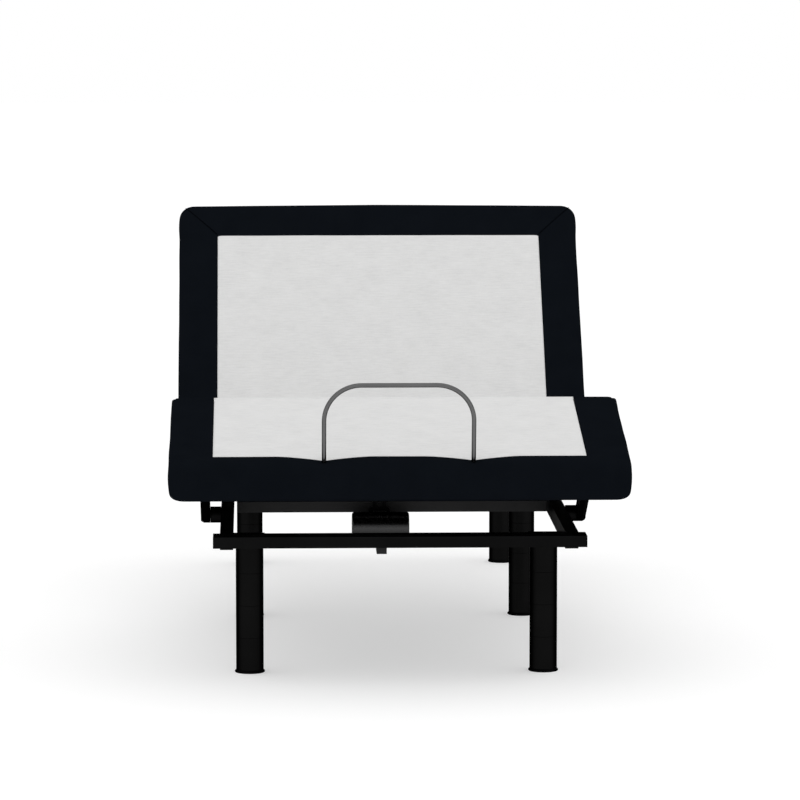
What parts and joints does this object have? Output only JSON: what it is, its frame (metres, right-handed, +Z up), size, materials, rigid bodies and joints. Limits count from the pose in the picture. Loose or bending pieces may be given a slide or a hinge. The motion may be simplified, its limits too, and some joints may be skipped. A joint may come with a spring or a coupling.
{
  "type": "adjustable bed base",
  "caption": "Adjustable bed base with tilting head, thigh and calf sections, electric actuators, a mattress retainer bar and stacked round legs.",
  "frame": {"origin": "on the floor, under the middle of the bounding box", "axes": "+X to the right seen from the foot end, +Y from the foot end towards the head end, +Z up"},
  "size_m": [0.979, 1.9868, 0.9183],
  "materials": {
    "frame_coat": "satin black powder coat",
    "cross_tube_coat": "semi-gloss dark grey coat",
    "deck_steel_coat": "satin black powder coat",
    "cap_plastic": "matte black moulded plastic",
    "leg_coat": "satin black coat",
    "zinc_steel": "zinc plated",
    "bumper_rubber": "moulded rubber",
    "plywood": "black film-faced plywood with black-stained softwood rails",
    "border_fabric": "fine dark navy, nearly black woven cloth",
    "pad_fabric": "light grey woven cloth with fine crosswise slubs",
    "retainer_coat": "gloss dark coat",
    "gearbox_plastic": "grey moulded plastic",
    "motor_plastic": "gloss black moulded plastic",
    "tube_aluminium": "satin extruded",
    "rod_steel": "ground and plated",
    "nut_brass": "turned"
  },
  "bodies": {
    "frame": {"front_bar": "frame_coat", "rear_bar": "frame_coat", "side_rails": "frame_coat", "cross_tubes": "cross_tube_coat", "leg_plates": "frame_coat", "bar_end_caps": "cap_plastic", "leg_segments": "leg_coat", "leg_collars": "leg_coat", "leg_glides": "cap_plastic", "leg_studs": "zinc_steel", "rest_bumpers": "bumper_rubber", "seat_posts": "deck_steel_coat", "seat_board": "plywood", "seat_border": "border_fabric", "seat_pad": "pad_fabric", "seat_side_tubes": "deck_steel_coat", "seat_cross_tubes": "deck_steel_coat", "seat_hinge_pins": "zinc_steel", "link_bosses": "frame_coat", "actuator_brackets": "deck_steel_coat", "control_box": "cap_plastic"},
    "head_section": {"head_board": "plywood", "head_border": "border_fabric", "head_pad": "pad_fabric", "head_side_tubes": "deck_steel_coat", "head_cross_tubes": "deck_steel_coat", "head_crank": "deck_steel_coat"},
    "thigh_section": {"thigh_board": "plywood", "thigh_border": "border_fabric", "thigh_pad": "pad_fabric", "thigh_side_tubes": "deck_steel_coat", "thigh_cross_tubes": "deck_steel_coat", "thigh_crank": "deck_steel_coat", "knee_hinge_pins": "zinc_steel"},
    "calf_section": {"calf_board": "plywood", "calf_border": "border_fabric", "calf_pad": "pad_fabric", "calf_side_tubes": "deck_steel_coat", "calf_cross_tubes": "deck_steel_coat", "calf_slot_plates": "deck_steel_coat", "retainer_bar": "retainer_coat", "retainer_sockets": "deck_steel_coat"},
    "left_link": {"link_left": "frame_coat", "link_pin_left": "zinc_steel"},
    "right_link": {"link_right": "frame_coat", "link_pin_right": "zinc_steel"},
    "head_actuator": {"head_gearbox": "gearbox_plastic", "head_motor": "motor_plastic", "head_tube": "tube_aluminium", "head_screw": "rod_steel"},
    "head_push_rod": {"head_rod": "rod_steel", "head_nut": "nut_brass", "head_rod_pin": "zinc_steel"},
    "foot_actuator": {"foot_gearbox": "gearbox_plastic", "foot_motor": "motor_plastic", "foot_tube": "tube_aluminium", "foot_screw": "rod_steel"},
    "foot_push_rod": {"foot_rod": "rod_steel", "foot_nut": "nut_brass", "foot_rod_pin": "zinc_steel"}
  },
  "joints": [
    {"name": "head_hinge", "type": "hinge", "parent": "frame", "child": "head_section", "pos_m": [0, 0.32806, 0.379], "axis": [1, 0, 0], "range_deg": [-48.16, 6.84]},
    {"name": "thigh_hinge", "type": "hinge", "parent": "frame", "child": "thigh_section", "pos_m": [0, -0.10754, 0.379], "axis": [-1, 0, 0], "range_deg": [-22.78, 12.22]},
    {"name": "knee_hinge", "type": "hinge", "parent": "thigh_section", "child": "calf_section", "pos_m": [0, -0.50407, 0.51949], "axis": [1, 0, 0], "range_deg": [-34.61, 19.04]},
    {"name": "left_link_swing", "type": "hinge", "parent": "frame", "child": "left_link", "pos_m": [-0.4165, -0.49034, 0.315], "axis": [-1, 0, 0], "range_deg": [-26.06, 14.34]},
    {"name": "right_link_swing", "type": "hinge", "parent": "frame", "child": "right_link", "pos_m": [0.4165, -0.49034, 0.315], "axis": [-1, 0, 0], "range_deg": [-26.06, 14.34]},
    {"name": "head_actuator_tilt", "type": "hinge", "parent": "frame", "child": "head_actuator", "pos_m": [0.11, 0.02966, 0.284], "axis": [1, 0, 0], "range_deg": [-3.75, 0.71]},
    {"name": "head_rod_slide", "type": "slide", "parent": "head_actuator", "child": "head_push_rod", "axis": [0, 0.9988, -0.0486], "range_m": [-0.1046, 0.01686]},
    {"name": "foot_actuator_tilt", "type": "hinge", "parent": "frame", "child": "foot_actuator", "pos_m": [-0.028, -0.40734, 0.249], "axis": [1, 0, 0], "range_deg": [-0.599, 0.341]},
    {"name": "foot_rod_slide", "type": "slide", "parent": "foot_actuator", "child": "foot_push_rod", "axis": [0, 0.9991, 0.0432], "range_m": [-0.02708, 0.04922]}
  ],
  "couplings": [
    {"joint": "knee_hinge", "follows": "thigh_hinge", "ratio": 1.474},
    {"joint": "left_link_swing", "follows": "thigh_hinge", "ratio": 1.11},
    {"joint": "right_link_swing", "follows": "thigh_hinge", "ratio": 1.11},
    {"joint": "head_actuator_tilt", "follows": "head_hinge", "ratio": 0.0736},
    {"joint": "head_rod_slide", "follows": "head_hinge", "m_per_rad": 0.12167},
    {"joint": "foot_actuator_tilt", "follows": "thigh_hinge", "ratio": 0.0244},
    {"joint": "foot_rod_slide", "follows": "thigh_hinge", "m_per_rad": -0.12011}
  ]
}
